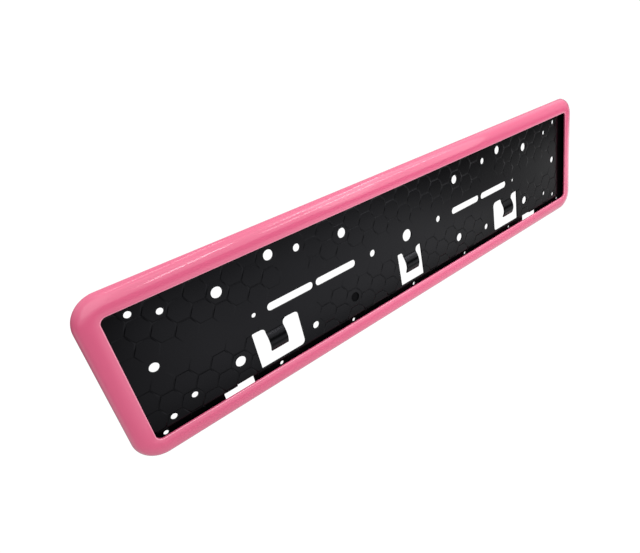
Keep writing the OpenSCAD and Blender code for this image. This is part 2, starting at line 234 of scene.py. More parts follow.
# Round holes in fours, in pairs left and right, and alone: distance from the middle,
# height above the middle line, and diameter
QUAD_HOLES = ((238.0, 41.3, 5.0), (219.8, 34.4, 5.0), (181.0, 29.3, 8.6), (112.3, 34.5, 6.3))
PAIR_HOLES = ((136.3, 38.6, 8.4), (69.2, 29.5, 8.4), (236.6, 0.0, 7.2), (160.6, 0.0, 3.9),
              (42.1, 0.0, 6.3), (247.0, -49.5, 3.9), (75.2, -49.2, 3.5), (150.4, -49.2, 3.5))
SINGLE_HOLES = ((0.0, 0.0, 11.2), (0.0, -49.2, 3.5), (69.2, -29.5, 8.4))
BLIND_HOLE = (-69.2, -29.5, 8.4)
# Slots: distance of the near end from the middle, and length
SLOTS = ((61.5, 42.0), (106.0, 43.0))
# Columns of the honeycomb on each side of its middle one, columns in an outer patch, and rows
MIDDLE_COLUMNS, OUTER_COLUMNS, ROWS = 7, 9, np.arange(-1, 4)
# Openings round the tongues: place of the tongue, and the opening's two sides
CUTOUTS = ((-148.0, -167.0, -125.3), (0.0, -15.0, 15.0), (148.0, 125.3, 167.0))
# Notches in the bottom edge: how far out their near side, their step and their far side
# lie, and how far below the middle line each of the two parts begins
NOTCH = ((175.7, 189.5, 201.0), (45.5, 46.7))


def bezel_sizes():
    return bpy.context.scene.plate_bezel


def base_sizes():
    return bpy.context.scene.plate_base


def base_mm():
    """The base plate's sizes in millimetres, which its flat plan is drawn in."""
    s = base_sizes()
    return SimpleNamespace(**{name: getattr(s, name) / MM for name in BaseSizes.__annotations__})


def clip_sizes():
    return bpy.context.scene.plate_clips


def colours():
    return bpy.context.scene.plate_colours


def studio():
    return bpy.context.scene.plate_studio


def arc(centre, radius, start, end, steps):
    """Points on a circle about centre, from one angle to another in degrees."""
    turn = np.radians(np.linspace(start, end, steps + 1))
    return np.asarray(centre) + radius * np.column_stack([np.cos(turn), np.sin(turn)])


class Section:
    """The bezel's section: u runs outward from the window's edge, d forward from the back.

    The crown is an arc through the window's edge that meets the shoulder arc without a
    kink, so its centre lies crown from the edge and crown less shoulder from the
    shoulder's centre."""

    def __init__(self, s):
        self.s = s
        lip = np.array([0.0, s.lip_height])
        self.shoulder = np.array([s.border - s.shoulder, 0.0])
        span = np.linalg.norm(self.shoulder - lip)
        heading = (self.shoulder - lip) / span
        along = (s.crown ** 2 - (s.crown - s.shoulder) ** 2 + span ** 2) / (2 * span)
        across = math.sqrt(s.crown ** 2 - along ** 2)
        self.crown = lip + along * heading + across * np.array([heading[1], -heading[0]])
        run, rise = self.shoulder - self.crown
        self.crown_end = math.degrees(math.atan2(rise, run))
        reach = s.crown - s.edge
        rise = math.sqrt(reach ** 2 - (s.edge - self.crown[0]) ** 2)
        self.edge = np.array([s.edge, self.crown[1] + rise])
        run, rise = self.edge - self.crown
        self.crown_start = math.degrees(math.atan2(rise, run))

    def outline(self):
        """Closed outline: window edge, crown, shoulder, and the same curves inside."""
        s = self.s
        inner_shoulder = s.shoulder - s.skin
        inner_crown = s.crown - s.skin
        rear_out = math.degrees(math.asin(s.rear_set / s.shoulder))
        rear_in = math.degrees(math.asin(s.rear_set / inner_shoulder))
        inside_start = math.degrees(math.acos(-self.crown[0] / inner_crown))
        return np.vstack([
            arc(self.edge, s.edge, 180, self.crown_start, 8),
            arc(self.crown, s.crown, self.crown_start, self.crown_end, 24)[1:],
            arc(self.shoulder, s.shoulder, self.crown_end, rear_out, 20)[1:],
            arc(self.shoulder, inner_shoulder, rear_in, self.crown_end, 12),
            arc(self.crown, inner_crown, self.crown_end, inside_start, 12)[1:],
        ])

    def rim(self):
        """How near each point of the outline is to the window's thin edge, from 1 to 0: the mask
        for the painted highlight along that edge.
        """
        u, d = self.outline().T
        return np.clip(1.5 - u / self.s.edge, 0, 1) * (d > self.s.lip_height - 0.1 * MM)

    def under_skin(self, u, part=1.0):
        """Height of the crown's inside above the back plane, at u from the window. With
        part a half, it is the height of the skin's middle."""
        reach = self.s.crown - part * self.s.skin
        return self.crown[1] + math.sqrt(reach ** 2 - (u - self.crown[0]) ** 2)

    def wall_reach(self):
        """How far the wall's outer face lies outward from the window: beside the short
        sides, beside the long sides, and at the corners."""
        base = base_sizes()
        offset = np.array([base.side_bed, base.top_bed]) + (self.s.window_corner - base.wall_corner)
        corner = np.hypot(*offset) + base.wall_corner + base.wall - self.s.window_corner
        return base.side_bed + base.wall, base.top_bed + base.wall, corner

    def wall_top(self):
        """Height of the wall, which ends just under the skin where its corners are."""
        return self.under_skin(self.wall_reach()[2]) - clip_sizes().gap

    def catch(self, wall):
        """Section of a catch on the wall's outer face, sloped in front."""
        c = clip_sizes()
        low = self.wall_top() - c.catch_drop - c.catch_height
        out, root = wall + c.catch_out, wall - base_sizes().wall / 2
        return np.array([(root, low), (out, low), (out, low + c.catch_height / 2),
                         (wall, low + c.catch_height), (root, low + c.catch_height)])

    def hook(self, wall):
        """Section of a hook that hangs from the skin, its nose behind the catch."""
        c = clip_sizes()
        arm, nose = wall + c.catch_out + c.gap, wall + c.gap
        back = arm + c.hook_thickness
        top = self.wall_top() - c.catch_drop - c.catch_height - c.gap
        low = top - c.nose_height
        return np.array([(arm, self.under_skin(arm, 0.5)), (arm, top), (nose, top),
                         (nose, top - c.nose_height / 2), (arm, low), (back, low),
                         (back, self.under_skin(min(back, self.shoulder[0] + self.s.skin), 0.5))])

    def rib(self, wall):
        """Section of a rib that stands on the floor: it follows the middle of the skin."""
        start = wall + 2 * clip_sizes().gap
        floor, middle = base_sizes().floor, self.s.skin / 2
        foot = math.degrees(math.asin(floor / (self.s.shoulder - middle)))
        top = math.degrees(math.acos((start - self.crown[0]) / (self.s.crown - middle)))
        return np.vstack([[(start, floor)],
                          arc(self.shoulder, self.s.shoulder - middle, foot, self.crown_end, 12),
                          arc(self.crown, self.s.crown - middle, self.crown_end, top, 6)[1:]])


def window():
    """Half width, half height and middle height of the window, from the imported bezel."""
    low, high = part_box("front_bezel")
    reach = outer_reach()
    return (high.x - low.x) / 2 - reach, (high.z - low.z) / 2 - reach, (high.z + low.z) / 2


def outer_reach():
    """How far the bezel's rear edge lies outward from the window."""
    s = bezel_sizes()
    return s.border - s.shoulder + math.sqrt(s.shoulder ** 2 - s.rear_set ** 2)


def new_object(name, points, faces, replaces, sharp=35.0, normals=None):
    """A smooth-shaded mesh object that rides on the holder, with its sharp edges marked.

    normals may give a direction for each corner of the first faces, three to a face. The
    other corners get theirs from their faces."""
    mesh = bpy.data.meshes.new(name)
    mesh.from_pydata(np.asarray(points, float), [], faces)
    mesh.polygons.foreach_set("use_smooth", np.ones(len(mesh.polygons), bool))
    mesh.set_sharp_from_angle(angle=math.radians(sharp))
    if normals is not None:
        corners = np.zeros((len(mesh.loops), 3))
        corners[:len(normals)] = normals
        mesh.normals_split_custom_set(corners)
    if mesh.validate():
        raise RuntimeError("the mesh of " + name + " has bad faces")
    piece = bpy.data.objects.new(name, mesh)
    bpy.context.scene.collection.objects.link(piece)
    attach(piece, BODY)
    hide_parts(replaces)
    return piece


def mark(piece, name, values):
    """Gives the first points of a piece's mesh a value each, and the rest nothing."""
    layer = piece.data.attributes.new(name, "FLOAT", "POINT")
    full = np.zeros(len(piece.data.vertices))
    full[:len(values)] = values
    layer.data.foreach_set("value", full)


def stand_up(flat):
    """Turns points drawn lying on the back (x, y up the plate, d forward) upright."""
    return np.column_stack([flat[:, 0], -flat[:, 2], flat[:, 1]])


def sweep_round_window(outline, corner_steps, long_steps, short_steps):
    """Carries a closed outline round the window.

    The path is the window's rounded rectangle. Each of its points has an outward normal,
    and a section point lies u along that normal and d forward, so all corner curves share
    the centres of the window's own corners. Returns points and quads of a closed tube."""
    half_w, half_h, middle = window()
    r = bezel_sizes().window_corner
    corners, path = [], []
    for sx, sy, start in CORNERS:
        normal = arc((0, 0), 1, start, start + 90, corner_steps)
        place = np.array([sx * (half_w - r), sy * (half_h - r)]) + r * normal
        corners.append(np.hstack([place, normal]))
    for i, steps in enumerate((long_steps, short_steps) * 2):
        mix = np.linspace(0, 1, steps + 1)[1:-1, None]
        path += [corners[i], corners[i][-1] * (1 - mix) + corners[(i + 1) % 4][0] * mix]
    place, normal = np.split(np.vstack(path), 2, axis=1)
    rows, columns = len(place), len(outline)
    flat = np.empty((rows, columns, 3))
    flat[:, :, :2] = place[:, None, :] + normal[:, None, :] * outline[:, :1]
    flat[:, :, 1] += middle
    flat[:, :, 2] = outline[:, 1]
    index = np.arange(rows * columns).reshape(rows, columns)
    ahead, across = np.roll(index, -1, 0), np.roll(index, -1, 1)
    quads = np.stack([index, across, np.roll(ahead, -1, 1), ahead], -1).reshape(-1, 4)
    return stand_up(flat.reshape(-1, 3)), quads


def bars(section, long, outward, reach, places):
    """Bars that carry a section along one of the window's sides.

    outward is the side's direction, reach its distance from the window's middle, and
    places lists how far along the side the middle of each bar lies. A point of the section
    lies reach plus u outward, and half a length to each side of the bar's middle. Returns
    the points and faces of closed bars."""
    outward, count = np.array(outward, float), len(section)
    along = np.array([outward[1], -outward[0]])
    ends = np.array(places)[:, None] + np.array([-0.5, 0.5]) * long
    flat = np.empty((len(places), 2, count, 3))
    flat[..., :2] = outward * (reach + section[:, :1]) + along * ends[..., None, None]
    flat[..., 1] += window()[2]
    flat[..., 2] = section[:, 1]
    index = np.arange(flat[..., 0].size).reshape(len(places), 2, count)
    start, end = index[:, 0], index[:, 1]
    sides = np.stack([start, np.roll(start, -1, 1), np.roll(end, -1, 1), end], -1).reshape(-1, 4)
    caps = start[:, ::-1].tolist() + end.tolist()
    return stand_up(flat.reshape(-1, 3)), sides.tolist() + caps


def clips(section, long, on_long, on_short):
    """Bars on both long and both short sides. section gives the outline for a wall reach."""
    half_w, half_h, _ = window()
    side, top, _ = Section(bezel_sizes()).wall_reach()
    above = [bars(section(top), long, (0, way), half_h, on_long) for way in (1, -1)]
    return above + [bars(section(side), long, (way, 0), half_w, on_short) for way in (1, -1)]


def gather(parts):
    """One mesh from several lists of points and faces."""
    points, faces, count = [], [], 0
    for more, loops in parts:
        points.append(more)
        faces += [[i + count for i in loop] for loop in loops]
        count += len(more)
    return np.vstack(points), faces


def principled(name):
    """A new material, its node tree and its Principled shader."""
    material = bpy.data.materials.new(name)
    material.use_nodes = True
    tree = material.node_tree
    return material, tree, tree.nodes["Principled BSDF"]


def put(made, **inputs):
    """Sets some of a node's inputs, by their names with _ for a space."""
    for key, value in inputs.items():
        made.inputs[key.replace("_", " ")].default_value = value
    return made


def node(tree, kind, **inputs):
    """A new node with some of its inputs set."""
    return put(tree.nodes.new(kind), **inputs)


def join(start, output, end, into):
    """Links an output of one node to an input of another, both by name or number."""
    start.id_data.links.new(start.outputs[output], end.inputs[into])


def grain_group():
    """Node group: fine moulded grain. It gives the height, which is the fine noise plus the
    wide one times the waviness, and the wide noise as a mask."""
    group = bpy.data.node_groups.get("Moulded grain")
    if group:
        return group
    group = bpy.data.node_groups.new("Moulded grain", "ShaderNodeTree")
    for name, way in (("Scale", "INPUT"), ("Waviness", "INPUT"),
                      ("Height", "OUTPUT"), ("Mask", "OUTPUT")):
        group.interface.new_socket(name, in_out=way, socket_type="NodeSocketFloat")
    enter = node(group, "NodeGroupInput")
    leave = node(group, "NodeGroupOutput")
    place = node(group, "ShaderNodeTexCoord")
    fine = node(group, "ShaderNodeTexNoise", Detail=3.0, Roughness=0.6)
    wide = node(group, "ShaderNodeTexNoise", Detail=2.0, Roughness=0.5, Scale=28.0)
    weigh = node(group, "ShaderNodeMath")
    weigh.operation = "MULTIPLY_ADD"
    join(place, "Object", fine, "Vector")
    join(place, "Object", wide, "Vector")
    join(enter, "Scale", fine, "Scale")
    for i, (start, output) in enumerate(((wide, "Fac"), (enter, "Waviness"), (fine, "Fac"))):
        join(start, output, weigh, i)
    join(weigh, "Value", leave, "Height")
    join(wide, "Fac", leave, "Mask")
    return group


def place_grain(tree, kind, strength, shader):
    """Puts the grain group and a bump node before a shader, and returns the group's node."""
    scale, waviness, depth = kind
    grain = node(tree, "ShaderNodeGroup")
    grain.node_tree = grain_group()
    put(grain, Scale=scale, Waviness=waviness)
    bump = node(tree, "ShaderNodeBump", Strength=strength, Distance=depth)
    join(grain, "Height", bump, "Height")
    join(bump, "Normal", shader, "Normal")
    return grain


def vary(tree, grain, low, high):
    """A node that maps the grain's mask to a number between low and high."""
    spread = node(tree, "ShaderNodeMapRange", From_Min=0.3, From_Max=0.7, To_Min=low, To_Max=high)
    join(grain, "Mask", spread, "Value")
    return spread


def read(tree, name):
    """A node that gives the values that mark put on a piece."""
    found = node(tree, "ShaderNodeAttribute")
    found.attribute_name = name
    return found


def pink_plastic():
    """Glossy pink plastic: smooth, with the faint waviness of a moulded skin. The lighter pink
    along the window's thin edge is a painted highlight.
    """
    c = colours()
    material, tree, shader = principled("pink gloss plastic")
    grain = place_grain(tree, PINK_GRAIN, c.pink_grain, shader)
    # Painted highlight: mixes the lighter pink in along the window's thin edge, by the mask marked
    # on the bezel
    skin = node(tree, "ShaderNodeMix")
    skin.data_type = "RGBA"
    put(skin, A=(*c.pink, 1.0), B=(*c.rim, 1.0))
    join(read(tree, "rim"), "Fac", skin, "Factor")
    join(skin, "Result", shader, "Base Color")
    put(shader, IOR=c.pink_ior, Coat_Weight=c.pink_coat, Coat_Roughness=c.coat_roughness)
    rough = vary(tree, grain, c.pink_roughness * 0.85, c.pink_roughness * 1.15)
    join(rough, "Result", shader, "Roughness")
    return material


def black_plastic():
    """Semi-gloss black plastic with a fine grain, like a moulded car part."""
    c = colours()
    material, tree, shader = principled("black satin plastic")
    grain = place_grain(tree, BLACK_GRAIN, c.black_grain, shader)
    put(shader, Base_Color=(*c.black, 1.0), IOR=c.black_ior,
        Specular_IOR_Level=c.black_mirror, Specular_Tint=(*c.black_shine, 1.0))
    rough = vary(tree, grain, c.black_roughness * 0.9, c.black_roughness * 1.12)
    finish = node(tree, "ShaderNodeMapRange", To_Max=1.0)
    join(read(tree, "matt"), "Fac", finish, "Value")
    join(rough, "Result", finish, "To Min")
    join(finish, "Result", shader, "Roughness")
    return material


def circle(x, y, diameter):
    """A round outline, anticlockwise."""
    return arc((x, y), diameter / 2, 0, 360, 40)[:-1]


def rounded(half_w, half_h, r, y):
    """A rectangle with round corners and its middle at height y, anticlockwise."""
    return np.vstack([arc((sx * (half_w - r), y + sy * (half_h - r)), r, start, start + 90, 20)
                      for sx, sy, start in CORNERS])


def opening(tongue_x, left, right):
    """Outline of an opening, which runs round its tongue: a U with round corners, and a
    fillet on each side where the tongue leaves the floor."""
    s = base_mm()
    top, bottom = -s.cutout_top, -s.cutout_bottom
    near, far, fillet = s.cutout_near, s.cutout_corner, s.tongue_root
    p, q = (near if abs(side) < abs(tongue_x) else far for side in (left, right))
    reach = s.tongue_width / 2
    tip = top - s.tongue_length
    return np.vstack([
        arc((left + p, top - p), p, 90, 180, 10),
        arc((left + p, bottom + p), p, 180, 270, 10),
        arc((right - q, bottom + q), q, 270, 360, 10),
        arc((right - q, top - q), q, 0, 90, 10),
        arc((tongue_x + reach + fillet, top - fillet), fillet, 90, 180, 10),
        [[tongue_x + reach, tip], [tongue_x - reach, tip]],
        arc((tongue_x - reach - fillet, top - fillet), fillet, 0, 90, 10),
    ])


def notch(side, bottom):
    """Outline of a stepped notch in the floor's bottom edge."""
    (near, step, far), (high, low) = NOTCH
    return np.array([(side * x, y) for x, y in (
        (near, bottom), (far, bottom), (far, -low), (step, -low), (step, -high), (near, -high))])


def slot_outline(x, long):
    """A slot with round ends on the middle line."""
    r = base_mm().slot_width / 2
    return np.vstack([arc((x + r, 0), r, 90, 270, 16), arc((x + long - r, 0), r, -90, 90, 16)])


def inside(outline, points):
    """Which points lie inside an outline, by counting the edges that a ray to the right
    crosses."""
    a, b = outline, np.roll(outline, -1, 0)
    y = points[:, 1:2]
    spans = (a[:, 1] > y) != (b[:, 1] > y)
    run, rise = (b - a).T
    rise = np.where(np.abs(rise) < 1e-12, 1e-12, rise)
    cross = a[:, 0] + (y - a[:, 1]) * (run / rise)
    return (spans & (points[:, :1] < cross)).sum(1) % 2 == 1


def cells():
    """Middles across and up, and column spacings, of the honeycomb's cells. There are a
    middle patch and two outer ones, above and below. Odd columns lie half a cell higher."""
    s = base_mm()
    rise = s.cell_rise
    middle, outer = np.arange(-MIDDLE_COLUMNS, MIDDLE_COLUMNS + 1), np.arange(OUTER_COLUMNS)
    far = s.outer_first + outer * s.outer_cells
    x = np.concatenate([middle * s.middle_cells, far, -far])
    pitch = np.repeat([s.middle_cells, s.outer_cells], [len(middle), 2 * len(outer)])
    odd = np.concatenate([middle, outer, outer]) % 2
    y = s.cell_start + rise + 2 * rise * ROWS + rise * odd[:, None]
    x, pitch = (np.broadcast_to(v[:, None], y.shape) for v in (x, pitch))
    return [np.concatenate([v.ravel(), w.ravel()]) for v, w in ((x, x), (y, -y), (pitch, pitch))]


def cell_outline(shrink):
    """The six corners of every cell, moved in by shrink from its edges.

    A cell with flat top and bottom has corners at two thirds of the column spacing to
    each side, and at a third of it above and below. Moving the edges in scales the cell
    about its middle."""
    s = base_mm()
    x, y, pitch = cells()
    rise = s.cell_rise
    scale = 1 - shrink / rise
    wide = pitch[:, None] * scale * np.array([2, 1, -1, -2, -1, 1]) / 3
    tall = rise * scale * np.array([0, 1, 1, 0, -1, -1])
    return np.stack([x[:, None] + wide, y[:, None] + tall], -1)


def in_honeycomb(points):
    """Which points lie where the honeycomb is: above and below the smooth middle strip,
    and not between the middle patch and the outer patches."""
    s = base_mm()
    x, y = np.abs(points[:, 0]), np.abs(points[:, 1])
    middle_end = MIDDLE_COLUMNS * s.middle_cells + s.middle_cells / 3
    outer_end = s.outer_first - s.outer_cells * 2 / 3
    return (y > s.cell_start - 1.0) & ((x < middle_end) | (x > outer_end))


def groove(points):
    """Depth of the honeycomb's grooves. The distance to the nearest cell edge sets it: a
    half cosine that is deepest on the edge and ends half a groove's width away."""
    s = base_mm()
    x, y, pitch = cells()
    rise, run = s.cell_rise, pitch / 3
    depth = []
    for part in np.array_split(points, 1 + len(points) // 4000):
        dx, dy = np.abs(part[:, :1] - x), np.abs(part[:, 1:] - y)
        slant = (2 * run - dx - run * dy / rise) * rise / np.hypot(rise, run)
        to_edge = np.minimum(rise - dy, slant).max(1)
        near = np.clip(to_edge / (s.groove_width / 2), 0, 1)
        depth.append(np.where(to_edge < -0.01, 0, 0.5 + 0.5 * np.cos(np.pi * near)))
    return np.concatenate(depth) * s.groove_depth


def swell(down):
    """How far a tongue stands forward at a length down from its root.

    It is flat at first. Its slope then grows evenly over the short bend and shrinks
    evenly to nothing at the highest point. From there it curls back to the tip."""
    s = base_mm()
    bend, run = s.tongue_bend, s.tongue_peak_at - s.tongue_root
    along = np.clip(down - s.tongue_root, 0, run)
    past = np.maximum(along - bend, 0)
    grown = np.minimum(along, bend) ** 2 / (2 * bend) + past - past ** 2 / (2 * (run - bend))
    beyond = np.maximum((down - s.tongue_peak_at) / (s.tongue_length - s.tongue_peak_at), 0)
    curl = (s.tongue_peak - s.tongue_tip) * (1 - np.cos(np.pi / 2 * beyond))
    return 2 * s.tongue_peak / run * grown - curl


def on_tongue(points):
    """Which points lie on a tongue."""
    s = base_mm()
    down = -s.cutout_top - points[:, 1]
    across = np.abs(points[:, :1] - [x for x, _, _ in CUTOUTS]).min(1)
    across = across <= s.tongue_width / 2 + 1e-6
    return across & (down >= 0) & (down <= s.tongue_length + 1e-6)


def relief(points, grooved):
    """Heights of the floor's front and back, and the directions that they face.

    The front lies swell above the floor on a tongue, and a groove's depth below it in the
    honeycomb. A direction is the cross product of the slopes across and along, which are
    worked out from heights a hundredth of a millimetre to each side."""
    s = base_mm()
    tongue = on_tongue(points)
    grooved = grooved & in_honeycomb(points) & ~tongue

    def heights(at):
        lift = swell(-s.cutout_top - at[:, 1]) * tongue
        return lift, s.floor + lift - groove(at) * grooved

    back, front = heights(points)
    step, flat = 0.01, np.ones(len(points))
    slopes = [[(behind - ahead) / (2 * step)
               for behind, ahead in zip(heights(points - shift), heights(points + shift))]
              for shift in np.eye(2) * step]
    faces = [np.column_stack([across, along, flat]) for across, along in zip(*slopes)]
    behind, ahead = (f / np.linalg.norm(f, axis=1)[:, None] for f in faces)
    return front, back, ahead, -behind


def floor_plan():
    """Outlines of everything that is cut out of the floor."""
    holes = []
    for x, y, d in QUAD_HOLES:
        holes += [circle(sx * x, sy * y, d) for sx in (1, -1) for sy in (1, -1)]
    for x, y, d in PAIR_HOLES:
        holes += [circle(sx * x, y, d) for sx in (1, -1)]
    holes += [circle(x, y, d) for x, y, d in SINGLE_HOLES]
    for x, long in SLOTS:
        holes += [slot_outline(x, long), slot_outline(-x - long, long)]
    holes += [opening(*each) for each in CUTOUTS]
    return holes


def plan_lines():
    """Lines that the floor's triangles must follow but that cut nothing out: the rims of
    the honeycomb's grooves and the rungs across the tongues."""
    s = base_mm()
    half = s.groove_width / 2
    keep = in_honeycomb(cell_outline(0.0).mean(1))
    loops = [cell_outline(half * step)[keep] for step in (0.0, 0.35, 0.7, 1.0)]
    down = -s.cutout_top - np.linspace(0, s.tongue_length, 25)[1:-1]
    reach = s.tongue_width / 2
    rungs = [np.array([(x - reach, y), (x + reach, y)]) for x, _, _ in CUTOUTS for y in down]
    return np.vstack(loops), rungs


def triangulate(rings, lines):
    """Triangles of the plane that follow all rings and open lines."""
    points, edges, count = [*rings, *lines], [], 0
    for i, line in enumerate(points):
        index = np.arange(len(line)) + count
        pairs = np.column_stack([index, np.roll(index, -1)])
        edges.append(pairs if i < len(rings) else pairs[:-1])
        count += len(line)
    vertices = [Vector(p) for p in np.vstack(points)]
    edges = [tuple(e) for e in np.vstack(edges).tolist()]
    found = delaunay_2d_cdt(vertices, edges, [], 0, 1e-5)
    return np.array(found[0])[:, :2], np.array(found[2])


def solid_between(plan, triangles, level, heights, backs, facing, facing_back):
    """A closed solid on a flat triangulation.

    Each triangle belongs to a level, and each level gives its own front height to every
    point. Where two levels meet, and where the plan ends, upright faces close the solid.
    Such a face of the wall, level 1, takes in a corner at floor height where the floor
    has one, so that no seam is left open. The back follows its own heights.

    The front and the back come first among the faces. Returns points, faces, the
    directions that the corners of the front and the back face, and each point's level."""
    count = len(plan)
    levels = len(heights)
    points = np.vstack([np.column_stack([plan, h]) for h in (*heights, backs)])
    front = triangles + (level * count)[:, None]
    back = triangles[:, ::-1] + levels * count
    edges = np.concatenate([triangles[:, [0, 1]], triangles[:, [1, 2]], triangles[:, [2, 0]]])
    owner = np.tile(np.arange(len(triangles)), 3)
    key = np.sort(edges, 1)
    order = np.lexsort((key[:, 1], key[:, 0]))
    edges, owner, key = edges[order], owner[order], key[order]
    same = (key[1:] == key[:-1]).all(1)
    paired = np.append(same, False) | np.append(False, same)
    a, b = edges[~paired].T
    top = level[owner[~paired]] * count
    outer = np.column_stack([b + top, a + top, a + levels * count, b + levels * count])
    first = np.flatnonzero(same)
    change = level[owner[first]] != level[owner[first + 1]]
    first = first[change]
    a, b = edges[first].T
    here, there = level[owner[first]] * count, level[owner[first + 1]] * count
    steps = np.column_stack([b + here, a + here, a + there, b + there])
    quads = np.concatenate([outer, steps])
    used = np.unique(np.concatenate([front.ravel(), back.ravel(), quads.ravel()]))
    renumber = np.full(len(points), -1)
    renumber[used] = np.arange(len(used))
    tris = renumber[np.concatenate([front, back])]
    ahead = facing[triangles]
    ahead[level > 0] = (0, 0, 1)
    normals = np.concatenate([ahead, facing_back[triangles[:, ::-1]]]).reshape(-1, 3)
    floors = np.zeros(count, bool)
    floors[triangles[level == 0]] = True
    sides = []
    for loop in quads.tolist():
        b_top, a_top, a_low, b_low = loop
        split = a_top // count == 1 and a_low // count == levels
        a_mid, b_mid = a_top % count, b_top % count
        loop = [b_top, a_top, *([a_mid] if split and floors[a_mid] else []),
                a_low, b_low, *([b_mid] if split and floors[b_mid] else [])]
        sides.append(renumber[loop].tolist())
    return points[used], tris.tolist() + sides, normals, used // count


def base_mesh():
    """The base plate in one closed solid. Returns points, faces, the directions of their
    corners, and which points are matt: the ones at the bottom of the blind hole."""
    s, b = base_mm(), bezel_sizes()
    half_w, half_h, middle = (v / MM for v in window())
    beside = math.sqrt((b.shoulder - b.skin) ** 2 - base_sizes().floor ** 2)
    flange = (b.border - b.shoulder + beside) / MM - s.flange_gap
    side, top, wall, corner = s.side_bed, s.top_bed, s.wall, s.wall_corner
    r = b.window_corner / MM
    edge = rounded(half_w + flange, half_h + flange, r + flange, middle)
    wall_out = rounded(half_w + side + wall, half_h + top + wall, corner + wall, middle)
    wall_in = rounded(half_w + side, half_h + top, corner, middle)
    blind = circle(*BLIND_HOLE)
    holes = floor_plan() + [notch(sx, middle - half_h - top) for sx in (1, -1)]
    honeycomb, rungs = plan_lines()
    plan, triangles = triangulate([edge, wall_out, wall_in, blind, *holes, *honeycomb], rungs)
    centres = plan[triangles].mean(1)
    keep = inside(edge, centres)
    for hole in holes:
        keep &= ~inside(hole, centres)
    triangles, centres = triangles[keep], centres[keep]
    (x1, y1), (x2, y2) = ((plan[triangles[:, i]] - plan[triangles[:, 0]]).T for i in (1, 2))
    wide = np.abs(x1 * y2 - y1 * x2) > 1e-9
    triangles, centres = triangles[wide], centres[wide]
    level = np.zeros(len(triangles), int)
    level[inside(wall_out, centres) & ~inside(wall_in, centres)] = 1
    level[inside(blind, centres)] = 2
    front, back, facing, facing_back = relief(plan, inside(wall_in, plan))
    tops = (Section(b).wall_top() / MM, s.floor - s.blind_depth)
    heights = [front, *(np.full(len(plan), height) for height in tops)]
    points, faces, normals, on = solid_between(plan, triangles, level, heights, back,
                                               facing, facing_back)
    return stand_up(points * MM), faces, stand_up(normals), on == 2


class PLATE_OT_base_plate(bpy.types.Operator):
    """Build the black base plate"""
    bl_idname = "plate.base_plate"
    bl_label = "Base plate"
    bl_options = {"REGISTER", "UNDO"}

    def execute(self, context):
        c = clip_sizes()
        spots = np.arange(-2, 3) * c.hook_pitch
        catches = clips(Section(bezel_sizes()).catch, c.catch_length, spots, [0.0])
        points, faces, normals, matt = base_mesh()
        points, faces = gather([(points, faces), *catches])
        piece = new_object("base_sheet", points, faces, "base_plate",
                           sharp=40.0, normals=normals)
        mark(piece, "matt", matt)
        piece.data.materials.append(black_plastic())
        return {"FINISHED"}


class PLATE_OT_front_bezel(bpy.types.Operator):
    """Build the pink bezel"""
    bl_idname = "plate.front_bezel"
    bl_label = "Front bezel"
    bl_options = {"REGISTER", "UNDO"}

    def execute(self, context):
        c = clip_sizes()
        section = Section(bezel_sizes())
        points, quads = sweep_round_window(section.outline(), 24, 60, 16)
        spots = np.arange(-2, 3) * c.hook_pitch
        between = [-c.rib_end, *(spots[:-1] + c.hook_pitch / 2), c.rib_end]
        hooks = clips(section.hook, c.hook_length, spots, [0.0])
        ribs = clips(section.rib, c.rib_thickness, between, [-c.end_rib, c.end_rib])
        # Mask for the painted highlight along the window's thin edge
        rim = np.tile(section.rim(), len(points) // len(section.outline()))
        points, faces = gather([(points, quads.tolist()), *hooks, *ribs])
        piece = new_object("bezel_skin", points, faces, "front_bezel")
        mark(piece, "rim", rim)
        piece.data.materials.append(pink_plastic())
        return {"FINISHED"}


def add_light(name, place, target, size, radiance):
    """A rectangular area light at place that faces target. Its power gives the radiance
    asked for, which is the power over pi and over the light's area."""
    data = bpy.data.lights.new(name, "AREA")
    data.shape = "RECTANGLE"
    data.size, data.size_y = size
    data.energy = radiance * math.pi * size[0] * size[1]
    light = bpy.data.objects.new(name, data)
    bpy.context.scene.collection.objects.link(light)
    light.location = place
    light.rotation_euler = (Vector(target) - Vector(place)).to_track_quat("-Z", "Y").to_euler()
    light.visible_camera = False
    return light


def add_softbox(name, azimuth, elevation, distance, width, height, aim, radiance):
    """An area light placed by its direction and distance from the spot it is aimed at."""
    turn, rise = math.radians(azimuth), math.radians(elevation)
    flat, target = math.cos(rise), Vector((aim, 0.0, 0.0))
    away = Vector((flat * math.sin(turn), -flat * math.cos(turn), math.sin(rise)))
    return add_light(name, target + distance * away, target, (width, height), radiance)


def add_strip(name, start, end, width, radiance):
    """A long thin area light between two points, facing the holder."""
    start, end = Vector(start), Vector(end)
    middle, along = (start + end) / 2, (end - start).normalized()
    light = add_light(name, middle, (0, 0, 0), ((end - start).length, width), radiance)
    facing = middle.normalized()
    facing = (facing - facing.dot(along) * along).normalized()
    across = facing.cross(along)
    light.rotation_euler = Matrix((along, across, facing)).transposed().to_euler()
    return light


def combine(tree, kind, first, second):
    """A sum or product of two values in a node tree."""
    step = node(tree, "ShaderNodeMath")
    step.operation = kind
    for i, value in enumerate((first, second)):
        tree.links.new(value, step.inputs[i])
    return step.outputs["Value"]


def soft_ramp(tree, value, stops, most=1.0):
    """A smooth curve near pairs of place and height, for a value that runs along it. The
    heights are shares of the highest, most."""
    low, high = stops[0][0], stops[-1][0]
    spread = node(tree, "ShaderNodeMapRange", From_Min=low, From_Max=high)
    tree.links.new(value, spread.inputs["Value"])
    ramp = node(tree, "ShaderNodeValToRGB")
    ramp.color_ramp.interpolation = "B_SPLINE"
    points = ramp.color_ramp.elements
    while len(points) < len(stops):
        points.new(0.5)
    for point, (at, height) in zip(points, stops):
        point.position = (at - low) / (high - low)
        point.color = (height * most, height * most, height * most, 1.0)
    join(spread, "Result", ramp, "Fac")
    return ramp.outputs["Color"]


